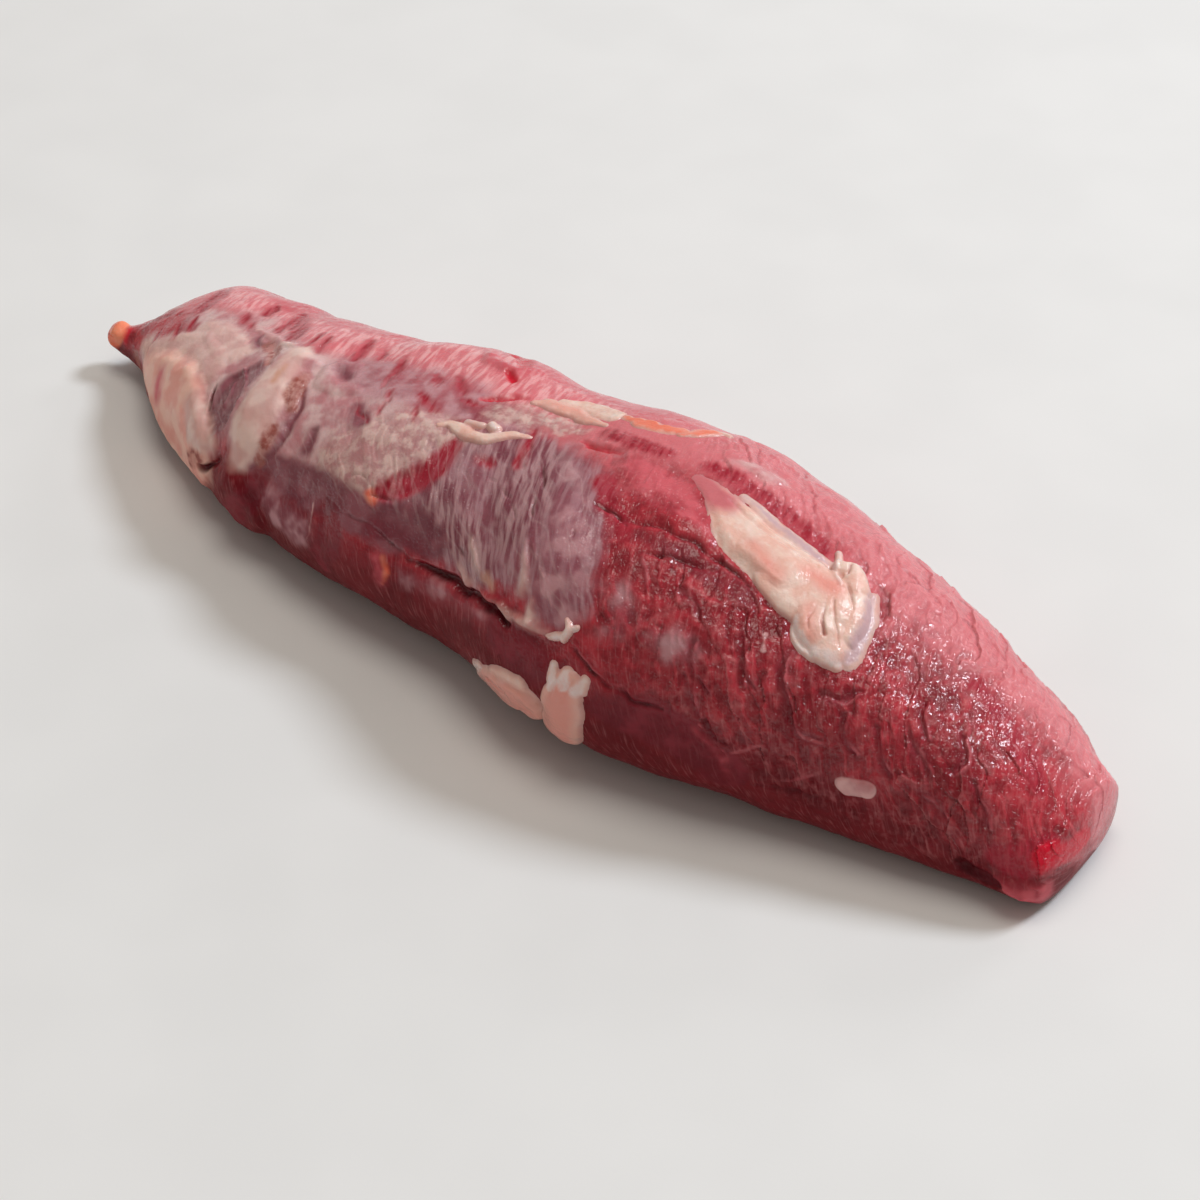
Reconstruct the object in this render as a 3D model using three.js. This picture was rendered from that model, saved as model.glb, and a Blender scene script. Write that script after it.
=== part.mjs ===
// A whole raw beef tenderloin, the muscle that filet mignon is cut from, lying on its flat side.
//
// One closed body, made of rings of points around the long axis, from the thin tail at -X to the thick
// head at +X. A ring is four quarters of superellipses that meet at the far side, the crest, the near
// side and the underside. Fat, folds, creases and cuts are relief on those rings.
//
// Millimetres, +Z up. The origin is on the resting surface, under the middle of the muscle's box.
import * as THREE from 'three';

// Driving dimensions.
const LENGTH = 420; // tail tip to head end
const STATIONS = [
  // from the middle, near side, far side, crest's place, crest's height, underside's height
  [-210, 12, 21, 16, 18, 10],
  [-203, 12, 22, 17, 18, 8],
  [-196, 11, 36, 23, 20, 6],
  [-190, 9, 48, 28, 24, 4],
  [-184, 6, 57, 31, 28, 2],
  [-172, -4, 62, 28, 34, 0],
  [-155, -13, 60, 24, 39, -1],
  [-126, -26, 57, 15, 46, -2],
  [-102, -36, 55, 8, 54, -2],
  [-84, -38, 54, 10, 56, -2],
  [-42, -45, 62, 10, 65, -2],
  [0, -47, 57, 6, 68, -2],
  [42, -58, 60, 3, 76, -2],
  [63, -59, 60, 1, 76, -2],
  [84, -56, 58, 1, 73, -2],
  [126, -45, 51, 0, 62, -2],
  [160, -36, 42, -1, 50, -2],
  [185, -31, 34, -4, 40, -1],
  [203, -27, 24, -4, 29, 0],
  [210, -22, 22, -2, 24, 1],
];
const WAIST = 0.42; // where a ring is widest, as a share of its height
const UPPER_ROUNDNESS = 2.2; // superellipse exponent above the waist, 2 being an ellipse
const LOWER_ROUNDNESS = 3.0; // and below it, where the meat spreads under its own weight
const TAIL_ROUNDING = 3; // length over which the tail closes
const HEAD_ROUNDING = 4; // and the head

const RINGS = 118;
const END_CROWDING = 0.35; // 0 for evenly spaced rings, 1 for rings crowded at both ends
// Angles run from the far side (0) over the crest (90) and the near side (180) to the underside (270).
const SIDE_SPANS = [
  { from: -50, to: 56, steps: 9 },
  { from: 56, to: 200, steps: 35 },
  { from: 200, to: 310, steps: 6 },
];

// Relief. A path's points are [along, angle, half width, height], and a height below 0 cuts in.
// What has an edge is a flat patch that falls off over that length, and the rest are rounded.
const FAT_AND_SKIN = [
  { name: 'tail knob', path: [[-207, 98, 5, 1.2], [-202, 130, 4, 1]] },
  { name: 'tail flap', edge: 6, path: [[-162, 150, 8, 1.5], [-145, 160, 15, 2.5], [-124, 162, 12, 2.5]] },
  { name: 'fold band', edge: 5, path: [[-102, 96, 6, 2], [-97, 124, 8, 3], [-96, 153, 7, 2]] },
  { name: 'ring of fat', path: [[-80, 91, 4, 1.5], [-86, 96, 5, 2], [-83, 103, 5, 2], [-69, 104, 5, 1.5]] },
  { name: 'cream ridge', path: [[-27, 105, 4, 1.2], [-12, 104, 5, 1.8], [0, 95, 4, 1.2]] },
  { name: 'peach ridge', path: [[-8, 80, 5, 1.2], [19, 79, 5, 1.2]] },
  { name: 'orange streak', path: [[25, 73, 5, 1], [40, 73, 5, 1], [50, 62, 6, 1.2]] },
  { name: 'small lump', edge: 4, path: [[28, 188, 7, 2.5], [44, 187, 9, 3]] },
  { name: 'large lump', edge: 4, path: [[61, 174, 7, 2.5], [60, 191, 9, 3]] },
  { name: 'fat strip', edge: 4, path: [[76, 88, 4, 2], [88, 94, 9, 3], [110, 98, 12, 3.5]] },
  { name: 'strip end', edge: 4, path: [[118, 93, 10, 3.5], [126, 108, 10, 4.5]] },
  { name: 'upper fleck', edge: 3, path: [[68, 70, 4, 1], [79, 70, 4, 1]] },
  { name: 'near fleck', edge: 3, path: [[82, 142, 4, 1], [90, 142, 4, 1]] },
];
const MUSCLE_FORMS = [
  { name: 'side chain', path: [[-98, 176, 12, 1.5], [-40, 178, 17, 2], [10, 178, 17, 2], [50, 178, 14, 1.5]] },
  { name: 'top muscle', path: [[-60, 62, 22, 1.5], [-10, 58, 24, 1.5], [60, 60, 22, 1]] },
  { name: 'head shoulder', path: [[100, 128, 24, 1.5], [165, 128, 20, 1.5]] },
  { name: 'lip at the head', path: [[200, 184, 6, 1.5], [206, 186, 5, 1.5]] },
];
const CUTS_AND_CREASES = [
  { name: 'window in the fat', edge: 5, path: [[-115, 112, 7, -1.5], [-116, 138, 9, -2.5]] },
  { name: 'gap under the flap', path: [[-108, 166, 4, -2], [-116, 178, 5, -3]] },
  { name: 'groove beside the band', path: [[-87, 112, 4, -2.5], [-82, 128, 5, -3], [-83, 150, 4, -2]] },
  { name: 'skin edge', path: [[-75, 151, 4, -1], [-30, 156, 4, -1.5], [-15, 163, 4, -2.5]] },
  { name: 'chain crease', path: [[-14, 165, 4, -3], [2, 163, 5, -5], [25, 161, 5, -5], [36, 162, 4, -2]] },
  { name: 'crease at the lumps', path: [[52, 178, 4, -2], [51, 193, 4, -2]] },
  { name: 'red cut', path: [[-38, 50, 4, -1.5], [-32, 60, 5, -2.5], [-28, 68, 4, -1.5]] },
  { name: 'crease below the strip', path: [[58, 110, 4, -1.2], [72, 107, 4, -1.5], [106, 113, 4, -1.5]] },
  { name: 'seam', path: [[62, 158, 4, -1.2], [78, 167, 4, -1.2], [110, 172, 4, -0.8]] },
  { name: 'head hollow', path: [[185, 187, 6, -2], [194, 193, 5, -1.5]] },
];
const RELIEF = [...MUSCLE_FORMS, ...FAT_AND_SKIN, ...CUTS_AND_CREASES];
const RELIEF_FADE = 6; // height over the resting surface by which the relief has its full size

// Gentle unevenness of the soft meat: the sum of slanting waves.
const WAVES = [
  { length: 74, turns: 2, height: 0.4, phase: 0.4 },
  { length: 47, turns: -3, height: 0.3, phase: 2.1 },
  { length: 29, turns: 4, height: 0.2, phase: 4.0 },
];

const MEAT = { color: 0x9c3a43, roughness: 0.45, metalness: 0 };

const radians = THREE.MathUtils.degToRad;
const smooth = THREE.MathUtils.smoothstep;

// Slope at each point of a curve that never overshoots the points it passes through.
function monotoneSlopes(xs, ys) {
  const rise = xs.slice(1).map((x, i) => (ys[i + 1] - ys[i]) / (x - xs[i]));
  const last = xs.length - 1;
  return xs.map((x, i) => {
    if (i === 0) return rise[0];
    if (i === last) return rise[last - 1];
    if (rise[i - 1] * rise[i] <= 0) return 0;
    const before = x - xs[i - 1];
    const after = xs[i + 1] - x;
    const weightBefore = 2 * after + before;
    const weightAfter = after + 2 * before;
    return (weightBefore + weightAfter) / (weightBefore / rise[i - 1] + weightAfter / rise[i]);
  });
}

// A function of x that passes smoothly through the points (xs, ys).
function curveThrough(xs, ys) {
  const slopes = monotoneSlopes(xs, ys);
  return (x) => {
    let i = 0;
    while (i < xs.length - 2 && x > xs[i + 1]) i += 1;
    const span = xs[i + 1] - xs[i];
    const t = (x - xs[i]) / span;
    const startWeight = (1 + 2 * t) * (1 - t) ** 2;
    const endWeight = t ** 2 * (3 - 2 * t);
    const bend = span * t * (1 - t) * ((1 - t) * slopes[i] - t * slopes[i + 1]);
    return startWeight * ys[i] + endWeight * ys[i + 1] + bend;
  };
}

const stationX = STATIONS.map((row) => row[0]);
const [nearAt, farAt, crestAt, heightAt, undersideAt] = [1, 2, 3, 4, 5].map((column) =>
  curveThrough(stationX, STATIONS.map((row) => row[column])),
);

// How far a ring has opened, from 0 at a rounded end to 1 along the body.
function opening(x) {
  const fromTail = Math.min(1, (x + LENGTH / 2) / TAIL_ROUNDING);
  const fromHead = Math.min(1, (LENGTH / 2 - x) / HEAD_ROUNDING);
  return Math.sqrt(1 - (1 - fromTail) ** 2) * Math.sqrt(1 - (1 - fromHead) ** 2);
}

const power = (value, exponent) => Math.sign(value) * Math.abs(value) ** exponent;

// The plain body's surface at one place along it and one angle around it.
function bodyPoint(x, degrees) {
  const across = Math.cos(radians(degrees));
  const up = Math.sin(radians(degrees));
  const exponent = 2 / (up >= 0 ? UPPER_ROUNDNESS : LOWER_ROUNDNESS);
  const open = opening(x);
  const crest = crestAt(x);
  const reach = across >= 0 ? farAt(x) - crest : crest - nearAt(x);
  const bottom = undersideAt(x);
  const waist = bottom + (heightAt(x) - bottom) * WAIST;
  const rise = up >= 0 ? heightAt(x) - waist : waist - bottom;
  const y = crest + reach * open * power(across, exponent);
  const z = waist + rise * open * power(up, exponent);
  return new THREE.Vector3(x, y, z);
}

// The direction straight out of a ring at one angle.
function outward(x, degrees) {
  const ahead = bodyPoint(x, degrees + 2);
  const behind = bodyPoint(x, degrees - 2);
  return new THREE.Vector3(0, ahead.z - behind.z, behind.y - ahead.y).normalize();
}

// A relief path's points, each with its place on the plain body.
function placed(feature) {
  const path = feature.path.map(([x, degrees, halfWidth, height]) => ({
    at: bodyPoint(x, degrees),
    halfWidth,
    height,
  }));
  return { ...feature, path };
}

// The nearest place on a path: its distance, and the width and height of the relief there.
function nearestOnPath(point, path) {
  let best = { distance: Infinity };
  for (let i = 0; i < path.length - 1; i += 1) {
    const [start, end] = [path[i], path[i + 1]];
    const along = new THREE.Line3(start.at, end.at).closestPointToPointParameter(point, true);
    const distance = start.at.clone().lerp(end.at, along).distanceTo(point);
    if (distance < best.distance) {
      const halfWidth = THREE.MathUtils.lerp(start.halfWidth, end.halfWidth, along);
      const height = THREE.MathUtils.lerp(start.height, end.height, along);
      best = { distance, halfWidth, height };
    }
  }
  return best;
}

function reliefOf(feature, point) {
  const { distance, halfWidth, height } = nearestOnPath(point, feature.path);
  if (distance >= halfWidth) return 0;
  if (feature.edge) return height * (1 - smooth(distance, halfWidth - feature.edge, halfWidth));
  return height * (1 - (distance / halfWidth) ** 2) ** 2;
}

function unevenness(x, degrees) {
  const turn = 2 * Math.PI;
  return WAVES.reduce((sum, { length, turns, height, phase }) => {
    const angle = turn * (x / length) + turns * radians(degrees) + phase;
    return sum + height * Math.sin(angle);
  }, 0);
}

const PLACED_RELIEF = RELIEF.map(placed);

// The finished surface: the plain body with its relief, never below the resting surface.
function surfacePoint(x, degrees) {
  const point = bodyPoint(x, degrees);
  const full = smooth(point.z, 0, RELIEF_FADE) * opening(x);
  const relief = PLACED_RELIEF.reduce((sum, feature) => sum + reliefOf(feature, point), 0);
  point.addScaledVector(outward(x, degrees), (relief + unevenness(x, degrees)) * full);
  point.z = Math.max(0, point.z);
  return point;
}

// Where the rings stand, closer together towards both ends.
function ringPlaces() {
  return Array.from({ length: RINGS }, (_, i) => {
    const even = (2 * (i + 1)) / (RINGS + 1) - 1;
    const crowded = Math.sin((Math.PI / 2) * even);
    return (LENGTH / 2) * THREE.MathUtils.lerp(even, crowded, END_CROWDING);
  });
}

function sideAngles() {
  return SIDE_SPANS.flatMap(({ from, to, steps }) =>
    Array.from({ length: steps }, (_, i) => from + ((to - from) * i) / steps),
  );
}

// Two triangles for each cell between neighbouring rings, split the same way all round.
function sideFaces(rings, sides) {
  const faces = [];
  for (let ring = 0; ring < rings - 1; ring += 1) {
    for (let side = 0; side < sides; side += 1) {
      const next = (side + 1) % sides;
      const a = ring * sides + side;
      const b = ring * sides + next;
      faces.push(a, b, b + sides, a, b + sides, a + sides);
    }
  }
  return faces;
}

// A fan of triangles from a tip to the ring that starts at firstIndex.
function endFaces(tip, firstIndex, sides, facesBack) {
  const faces = [];
  for (let side = 0; side < sides; side += 1) {
    const a = firstIndex + side;
    const b = firstIndex + ((side + 1) % sides);
    faces.push(tip, ...(facesBack ? [b, a] : [a, b]));
  }
  return faces;
}

function tenderloinGeometry() {
  const angles = sideAngles();
  const places = ringPlaces();
  const sides = angles.length;
  const points = places.flatMap((x) => angles.map((degrees) => surfacePoint(x, degrees)));
  const tailTip = points.length;
  const headTip = tailTip + 1;
  points.push(bodyPoint(-LENGTH / 2, 0), bodyPoint(LENGTH / 2, 0));
  const lastRing = (places.length - 1) * sides;
  const geometry = new THREE.BufferGeometry().setFromPoints(points);
  geometry.setIndex([
    ...sideFaces(places.length, sides),
    ...endFaces(tailTip, 0, sides, true),
    ...endFaces(headTip, lastRing, sides, false),
  ]);
  geometry.computeVertexNormals();
  return geometry;
}

const tenderloin = new THREE.Mesh(tenderloinGeometry(), new THREE.MeshStandardMaterial(MEAT));
tenderloin.name = 'tenderloin';

const group = new THREE.Group();
group.add(tenderloin);
export default group;
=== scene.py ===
"""A whole raw beef tenderloin lying on a pale surface.

Sizes are millimetres until a mesh is made, which is in metres. A place on the meat is (x, angle): x runs
along the muscle from tail to head, and the angle goes round it, from the far side (0) over the crest (90)
and the near side (180) to the underside (270).
"""

import math

import bpy
import numpy as np
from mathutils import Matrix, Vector


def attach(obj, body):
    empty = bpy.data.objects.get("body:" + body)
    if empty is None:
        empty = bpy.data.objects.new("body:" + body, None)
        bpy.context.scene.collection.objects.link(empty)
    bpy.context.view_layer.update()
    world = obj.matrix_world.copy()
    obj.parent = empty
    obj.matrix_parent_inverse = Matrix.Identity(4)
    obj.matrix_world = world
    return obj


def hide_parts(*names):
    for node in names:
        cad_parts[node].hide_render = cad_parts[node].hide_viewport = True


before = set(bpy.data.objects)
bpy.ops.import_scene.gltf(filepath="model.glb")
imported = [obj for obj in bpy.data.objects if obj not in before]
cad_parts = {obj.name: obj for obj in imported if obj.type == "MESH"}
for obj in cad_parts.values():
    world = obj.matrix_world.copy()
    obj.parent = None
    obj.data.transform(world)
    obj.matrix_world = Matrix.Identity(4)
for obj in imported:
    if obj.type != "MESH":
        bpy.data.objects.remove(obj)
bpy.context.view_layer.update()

MM = 0.001
NODE = "tenderloin"
BODY = "root"

CAMERA_AZIMUTH = 37
CAMERA_ELEVATION = 40
CAMERA_DISTANCE = 820.1
CAMERA_TARGET = (40.3, -14.5, 30)
FIELD_OF_VIEW = 26

# The lights and the floor, in metres. Lights: name, direction, distance, size, power, colour.
LIGHTS = (
    ("key", (0.45, 0.8, 1.0), 4, 1.0, 85, (0.95, 1.02, 1.1)),
    ("sky", (0.0, 0.1, 1.0), 3, 1.6, 25, (1.0, 0.93, 0.85)),
    ("rim", (0.15, 0.92, 0.4), 3, 0.9, 9, (1.0, 0.96, 1.0)),
)
LIGHT_TARGET = (0, 0, 0.02)
WORLD_STRENGTH = 0.3
WORLD_COLOUR = (1.0, 0.92, 0.84, 1)
FLOOR_HALF = 3.0

# The plain body: rings of superellipses, as in the solid.
LENGTH = 420
STATIONS = np.array([
    # x, near side, far side, crest's place, crest's height, underside's height
    (-210, 12, 21, 16, 18, 10),
    (-203, 12, 22, 17, 18, 8),
    (-196, 11, 36, 23, 20, 6),
    (-190, 9, 48, 28, 24, 4),
    (-184, 6, 57, 31, 28, 2),
    (-172, -4, 62, 28, 34, 0),
    (-155, -13, 60, 24, 39, -1),
    (-126, -26, 57, 15, 46, -2),
    (-102, -36, 55, 8, 54, -2),
    (-84, -38, 54, 10, 56, -2),
    (-42, -45, 62, 10, 65, -2),
    (0, -47, 57, 6, 68, -2),
    (42, -58, 60, 3, 76, -2),
    (63, -59, 60, 1, 76, -2),
    (84, -56, 58, 1, 73, -2),
    (126, -45, 51, 0, 62, -2),
    (160, -36, 42, -1, 50, -2),
    (185, -31, 34, -4, 40, -1),
    (203, -27, 24, -4, 29, 0),
    (210, -22, 22, -2, 24, 1),
], float)
WAIST = 0.42
GIRTH_ALLOWANCE = 4
UPPER_ROUNDNESS = 2.2
LOWER_ROUNDNESS = 3.0
TAIL_ROUNDING = 5
HEAD_ROUNDING = 4
RELIEF_FADE = 6

RINGS = 861
PATCH_RINGS = 287
END_CROWDING = 0.3
SIDE_SPANS = ((-60, 30, 60), (30, 200, 220), (200, 300, 30))

# The muscle's features. Each has a tint, the width of its soft edge, and a path of (x, angle, half width,
# height), where a height left out is 0. With an edge the relief is flat inside it, and otherwise rounded.
FEATURES = {
    # The great forms.
    "side chain": (None, 0, (-98, 176, 12, 1.5), (-40, 178, 17, 2), (10, 178, 17, 2.2), (50, 178, 14, 1.8)),
    "chain's start": (None, 5, (-102, 162, 4, 0.8), (-99, 174, 9, 2), (-93, 187, 12, 2.4)),
    "top muscle": (None, 0, (-60, 62, 22, 1.5), (-10, 58, 24, 1.5), (60, 60, 22, 1)),
    "head shoulder": (None, 0, (100, 128, 24, 1.5), (165, 128, 20, 1.5)),
    "head lip": ("rosy", 0, (196, 181, 4, 1.2), (201, 186, 6, 2), (207, 184, 5, 1.5)),
    # The colours and skins of the ground.
    "white film": ("film", 9, (-160, 104, 10, 0.2), (-134, 108, 19, 0.4), (-104, 116, 24, 0.5),
        (-76, 120, 26, 0.5), (-46, 124, 24, 0.4), (-20, 126, 20, 0.3)),
    "lilac film": ("lilac", 7, (-22, 128, 18, 0), (0, 124, 26, 0), (22, 124, 28, 0.2), (40, 132, 20, 0.2),
        (50, 142, 12, 0.2)),
    "red far side": ("rosy", 10, (-160, 44, 8), (-120, 48, 13), (-60, 46, 12), (-10, 48, 12), (30, 56, 10)),
    "silk on top": ("silk", 10, (-160, 66, 14), (-120, 62, 22), (-60, 64, 26), (0, 66, 20)),
    # The tail.
    "tail knob": ("orange", 0, (-208, 88, 5, 0.8), (-205, 110, 5, 1.3), (-203, 140, 4.5, 1),
        (-205, 170, 4, 0.6)),
    "knob's pale top": ("cream", 0, (-208, 55, 3), (-205, 76, 3)),
    "knob's line": ("red", 1, (-200, 112, 1.4, 0), (-198.5, 135, 1.8, -0.3), (-197.5, 156, 1.2, 0)),
    "knob's stripe": ("film", 2, (-198, 80, 2, 0.3), (-190, 88, 3.5, 0.4), (-184, 96, 2, 0)),
    "tail's film": ("film", 6, (-184, 146, 4, 0), (-172, 132, 4, 0), (-157, 104, 6, 0.2), (-148, 90, 6, 0.2),
        (-138, 82, 6, 0.2)),
    "tail cover": ("tan", 5, (-156, 104, 4, 0.3), (-146, 104, 8, 0.8), (-132, 106, 8, 0.8),
        (-126, 98, 4, 0.4)),
    "lower tail cover": ("tan", 5, (-184, 150, 4, 0.3), (-170, 136, 8, 0.6), (-154, 126, 12, 0.9),
        (-136, 124, 9, 0.8)),
    "tail flap": ("peach", 7, (-176, 158, 6, 0.8), (-160, 158, 15, 1.8), (-144, 166, 19, 2.4),
        (-124, 172, 15, 2.2)),
    "lower flap": ("cream", 5, (-132, 148, 6, 0.4), (-122, 156, 8, 0.8), (-112, 160, 5, 0.8)),
    "rosy spot": ("rosy", 3, (-160, 150, 3), (-157, 163, 4)),
    "tip's spot": ("brown", 2, (-190, 172, 2.5, -0.3), (-187, 180, 3, -0.3)),
    "window": ("mauve", 4, (-113, 112, 6, -0.6), (-116, 125, 9.5, -1.2), (-115, 139, 9, -1.2)),
    "window's fold": ("film", 0, (-119, 112, 1.2, 0.8), (-113, 118, 1.4, 0.9), (-108, 127, 1.4, 0.8),
        (-107, 138, 1.2, 0.6)),
    "inner fold": ("film", 0, (-118, 122, 1.2, 0.5), (-115, 133, 1.5, 0.7), (-117, 143, 1.2, 0.5)),
    "window's slit": ("dark", 0, (-126, 128, 1.1, -0.5), (-125, 136, 1.8, -1), (-122, 143, 1.3, -0.8)),
    "arch": ("brown", 0, (-122, 94, 2.2, -0.5), (-114, 96, 3, -0.8), (-109, 104, 2.6, -0.8)),
    "small arch": ("mauve", 0, (-130, 93, 2, -0.4), (-126, 96, 2.2, -0.5), (-122, 95, 1.6, -0.4)),
    # Painted shadow in the gap under the flap.
    "flap's gap": ("dark", 0, (-106.5, 163, 1.2, -1), (-111, 172, 1.8, -2), (-118, 179, 2.2, -2.4)),
    "gap's edge": ("brown", 0, (-117, 171, 2.4), (-124, 177, 4)),
    "ridge line": ("cream", 0, (-136, 89, 1.4, 0.5), (-122, 90, 1.8, 0.7), (-108, 91, 2, 0.9)),
    "fold band": ("cream", 7, (-102, 94, 6, 0.5), (-99, 108, 8.5, 1), (-97, 124, 10, 1.4),
        (-96.5, 140, 10, 1.5), (-97, 155, 7, 1)),
    "knuckle": ("film", 0, (-99, 95, 4, 0.8), (-93, 97, 4, 0.7)),
    "band's stain": ("stain", 0, (-99.5, 104, 2), (-98.5, 114, 1.8)),
    "band's lilac stripe": ("lilac", 0, (-104, 120, 2.6), (-102, 148, 2.6)),
    "band's crust": ("brown", 0, (-91, 106, 2, 0.3), (-89, 114, 4, 0.6), (-86.5, 122, 3, 0.4)),
    "band's shade": ("brown", 0, (-87, 136, 3), (-87, 152, 2.6)),
    # The band's groove is mauve with painted shade.
    "band's groove": ("mauve", 0, (-86, 112, 1.4, -0.6), (-83.5, 120, 2, -1), (-82, 134, 2.4, -1.3),
        (-83.5, 148, 2, -1), (-89, 158, 1.4, -0.5)),
    "ring of fat": ("film", 0, (-79, 91, 2.6, 0.8), (-84, 92.5, 3, 1), (-87, 97, 3.6, 1.2),
        (-83, 103.5, 5, 1.5), (-76, 105, 5, 1.4), (-68, 104.5, 3.6, 0.9)),
    "dimple": ("mauve", 0, (-82, 96, 2.4, -0.4), (-78, 98, 2.4, -0.4)),
    # The middle.
    "silky top": ("veil", 8, (-82, 92, 8, 0.1), (-60, 94, 13, 0.1), (-34, 94, 12, 0.1), (-8, 94, 8, 0.1)),
    "white skin": ("film", 7, (-74, 114, 9, 0.4), (-66, 124, 13, 0.5), (-60, 138, 10, 0.4),
        (-48, 146, 7, 0.2)),
    "white hollow": ("mauve", 0, (-61, 112, 3, -0.3), (-56, 118, 4, -0.4)),
    "white dent": ("mauve", 0, (-71, 128, 1.8, -0.8), (-69, 136, 2.4, -1), (-70, 141, 1.6, -0.6)),
    "rough skin": ("skin", 6, (-50, 122, 6, 0.4), (-40, 116, 9, 0.6), (-28, 110, 8, 0.6), (-18, 106, 4, 0.4)),
    "lower rough skin": ("skin", 6, (-54, 134, 10, 0.4), (-42, 132, 13, 0.6), (-30, 124, 8, 0.5)),
    "upper rough skin": ("skin", 4, (-14, 92, 5, 0.3), (-4, 88, 6, 0.4), (6, 86, 5, 0.3), (14, 86, 3, 0.2)),
    "torn skin": ("streaky", 5, (-14, 130, 7, 0.4), (-4, 138, 9, 0.5), (8, 146, 8, 0.5), (18, 151, 6, 0.4)),
    "streaky skin": ("streaky", 5, (-14, 108, 6, 0.2), (2, 102, 12, 0.3), (14, 112, 14, 0.3),
        (22, 130, 9, 0.2)),
    "smooth sheet": ("veil", 5, (18, 94, 4, 0), (32, 112, 6, 0.2), (44, 130, 10, 0.3), (50, 148, 9, 0.2)),
    "mauve wedge": ("lilac", 3, (10, 124, 2), (18, 130, 4), (23, 134, 2)),
    "bare wedge": ("mauve", 4, (-28, 147, 3), (-16, 150, 8), (-6, 152, 6)),
    "upper veil": ("mauve", 8, (-84, 152, 4), (-66, 153, 7), (-44, 154, 7), (-20, 156, 6)),
    "chain's veil": ("veil", 7, (-76, 170, 8), (-62, 174, 8)),
    "chain's fold": (None, 0, (-79, 152, 3, -0.6), (-83, 168, 4, -1), (-92, 186, 4, -0.8)),
    "second fold": (None, 0, (-53, 158, 3, -0.4), (-49, 170, 4, -0.8), (-52, 184, 4, -0.6)),
    # Painted shade in the folds of the chain.
    "fold's dark": ("dusk", 4, (-84, 160, 4), (-87, 172, 5), (-97, 188, 6)),
    "second dark": ("dusk", 5, (-50, 160, 5), (-46, 172, 7), (-52, 184, 5)),
    "light line": ("thread", 0, (-57, 158, 0.7, 0.3), (-55, 168, 0.9, 0.4), (-57, 178, 0.6, 0.2)),
    "lower veil": ("veil", 5, (-14, 171, 3, 0.5), (4, 168, 3, 0.8), (24, 166, 3, 0.5)),
    # Painted shade beside the lumps, low on the near side.
    "shade by the lumps": ("dusk", 5, (34, 168, 8, 0.2), (48, 172, 8, 0.2), (42, 177, 6, 0)),
    "red cut": ("red", 0, (-46, 46, 2.4, -0.4), (-40, 49, 4.5, -1.2), (-33, 56, 5, -1.4), (-27, 64, 3, -0.8)),
    "cut's lip": ("rosy", 0, (-44, 60, 3, 0.8), (-38, 70, 4, 1.2), (-28, 71, 4, 1.2), (-22, 62, 3, 1)),
    "small cut": ("red", 0, (-28, 74, 2.4, -1), (-24, 76, 2.4, -1)),
    "ridge slit": ("red", 0, (-25, 90, 1.4, -0.8), (-20, 87, 2.4, -1.6), (-13, 81.5, 1.8, -0.8)),
    "bright slit": ("red", 0, (20, 90, 1, -1), (27, 91, 1.7, -1.8), (37, 91, 0.9, -0.8)),
    "slit's red": ("crimson", 3, (24, 84, 3, 0.3), (36, 85, 4, 0.5), (47, 84, 3, 0.3)),
    "red patch": ("crimson", 3, (-18, 112, 4, -0.3), (-19, 122, 5, -0.6), (-24, 133, 5.5, -0.8),
        (-32, 142, 3, -0.6)),
    "patch's edge": ("dark", 0, (-34, 144, 0.9, -0.5), (-26, 142, 1.1, -0.8), (-20, 140, 0.9, -0.5)),
    "orange point": ("orange", 0, (-35, 143, 2, 0.3), (-33, 146, 1.8, 0.2)),
    "skin edge": ("dark", 0, (-52, 155, 0.7, -0.3), (-30, 158, 0.9, -0.5), (-14, 163, 1.2, -0.8)),
    # The chain crease is dark with painted shade.
    "chain crease": ("dark", 0, (-14, 164.5, 1.4, -1), (-2, 163, 2.2, -2.2), (12, 162, 2.6, -3),
        (26, 162, 2.6, -3), (36, 163, 1.8, -1.6)),
    "chain's spot": ("rosy", 2, (-26, 170, 3, 0.4), (-23, 176, 3.5, 0.4)),
    "spot's edge": ("orange", 0, (-23, 168, 1.4, 0), (-20.5, 173, 1.8, 0.3), (-22, 178, 1.2, 0)),
    "membrane's edge": ("cream", 0, (2, 151, 1, 0.5), (8, 155.5, 1.4, 0.9), (15, 158.5, 1.7, 1.2),
        (24, 158.5, 1.7, 1.4), (34, 159.5, 2, 1.8), (44, 158, 2.8, 2), (51, 158, 2, 1.2)),
    "edge's bump": ("cream", 0, (42, 151, 2, 0.8), (43.5, 156, 3, 1.2)),
    "finger": ("cream", 0, (30, 133, 1.4, 0.5), (34, 140, 2.2, 0.9), (38, 149, 2.2, 0.8)),
    "second finger": ("cream", 0, (8, 141, 1, 0.4), (12, 147, 1.6, 0.7), (20, 154, 1.6, 0.5)),
    "edge's stain": ("stain", 0, (21, 152, 2.6), (26, 154, 2.4)),
    "stain's red": ("crimson", 1, (27, 151, 1.4, 0), (29, 155, 1.6, -0.2)),
    "white thread": ("thread", 0, (33, 132, 0.6, 0.3), (45, 143, 0.7, 0.4), (57, 156, 0.8, 0.4)),
    "curved line": ("dark", 0, (-46, 142, 0.6, -0.4), (-41, 139, 0.7, -0.5), (-36, 140, 0.7, -0.5),
        (-34, 143, 0.6, -0.3)),
    # The head.
    # Painted shade: the creases by the strip are dark, and the strip's shade below it is darkened.
    "strip's crease": ("dark", 0, (52, 111, 0.8, -0.4), (62, 108.5, 1.1, -0.8), (72, 106.5, 1.4, -1.1),
        (86, 107, 1.6, -1.2), (98, 109.5, 1.2, -0.9), (108, 113, 0.8, -0.5)),
    "crease's lip": (None, 0, (48, 104, 4, 0.6), (60, 103.5, 4.4, 1), (70, 102, 4.4, 1),
        (80, 102.5, 3.6, 0.8)),
    "strip's shade": ("dusk", 5, (62, 112, 3, -0.2), (80, 112, 4, -0.4), (100, 114, 4, -0.2)),
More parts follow.
